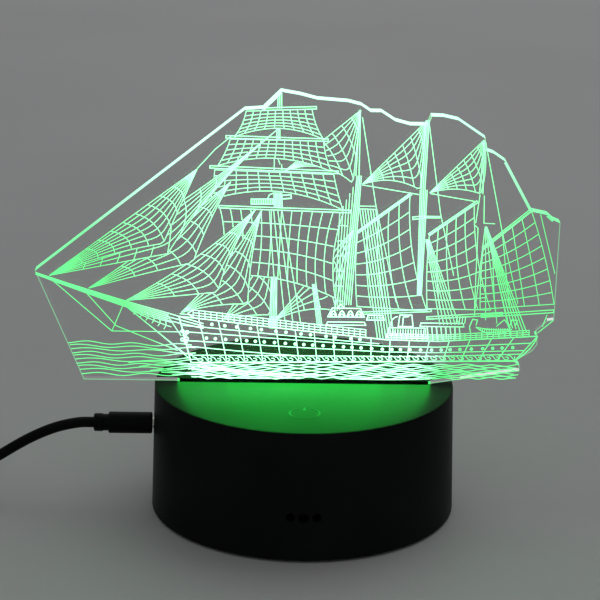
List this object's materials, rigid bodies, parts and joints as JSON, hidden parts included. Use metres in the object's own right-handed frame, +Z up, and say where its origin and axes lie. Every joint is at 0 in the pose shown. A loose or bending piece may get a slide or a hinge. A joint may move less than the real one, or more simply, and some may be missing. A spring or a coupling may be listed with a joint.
{
  "type": "edge-lit acrylic night lamp",
  "caption": "Clear acrylic panel, engraved with a sailing ship, standing in the slot of a round black base that lights it from below.",
  "frame": {"origin": "on the base's axis, at the level of the table that the feet stand on", "axes": "+Z up; -Y is the lamp's front, with the touch key and the three small holes; the power plug goes in from -X; the panel lies along X"},
  "size_m": [0.225, 0.1198, 0.1221],
  "materials": {
    "abs_black": "satin moulded ABS, black",
    "clear_acrylic": "clear cast acrylic, polished faces",
    "engraved_lines": "frosted laser engraving, lit green through the panel's edge",
    "pvc_black": "satin moulded PVC, black",
    "rubber_black": "matt rubber, black",
    "board_white": "white solder mask",
    "board_green": "green solder mask",
    "led_white": "white LED package with a round window",
    "epoxy_black": "moulded epoxy, black",
    "can_blue": "capacitor sleeve, dark blue",
    "nickel": "nickel plated steel",
    "tinplate": "tinned spring steel",
    "wire_red": "PVC wire, red",
    "wire_green": "PVC wire, green",
    "wire_blue": "PVC wire, blue",
    "wire_black": "PVC wire, black"
  },
  "bodies": {
    "base": {"top_shell": "abs_black", "bottom_cover": "abs_black", "led_board": "board_white", "led_chip_1": "led_white", "led_chip_2": "led_white", "led_chip_3": "led_white", "led_chip_4": "led_white", "led_chip_5": "led_white", "led_chip_6": "led_white", "led_board_screw_1": "nickel", "led_board_screw_2": "nickel", "control_board": "board_green", "control_board_screw_1": "nickel", "control_board_screw_2": "nickel", "control_chip": "epoxy_black", "transistor_1": "epoxy_black", "transistor_2": "epoxy_black", "transistor_3": "epoxy_black", "capacitor": "can_blue", "touch_spring": "tinplate", "ir_receiver": "epoxy_black", "power_jack": "epoxy_black", "battery_plate_1": "tinplate", "battery_plate_2": "tinplate", "battery_plate_3": "tinplate", "battery_spring_1": "tinplate", "battery_spring_2": "tinplate", "battery_spring_3": "tinplate", "led_wire_1": "wire_red", "led_wire_2": "wire_green", "led_wire_3": "wire_blue", "led_wire_4": "wire_black", "battery_wire_red": "wire_red", "battery_wire_black": "wire_black", "case_screw_1": "nickel", "case_screw_2": "nickel", "case_screw_3": "nickel", "case_screw_4": "nickel", "foot_1": "rubber_black", "foot_2": "rubber_black", "foot_3": "rubber_black", "foot_4": "rubber_black"},
    "panel": {"acrylic_panel": "clear_acrylic"},
    "battery_door": {"battery_door": "abs_black"},
    "power_cable": {"plug_sleeve": "nickel", "plug_grip": "pvc_black", "cable_tube": "pvc_black", "cable_coil": "pvc_black", "cable_tail": "pvc_black", "cable_tie": "rubber_black", "usb_plug_body": "pvc_black", "usb_plug_shell": "nickel"}
  },
  "joints": [
    {"name": "panel_lift", "type": "slide", "parent": "base", "child": "panel", "axis": [0, 0, 1], "range_m": [0, 0.012]},
    {"name": "door_swing", "type": "hinge", "parent": "base", "child": "battery_door", "pos_m": [0, 0.024, 0.0009], "axis": [1, 0, 0], "range_deg": [0, 45]},
    {"name": "plug_pull", "type": "slide", "parent": "base", "child": "power_cable", "axis": [-1, 0, 0], "range_m": [0, 0.012]}
  ]
}
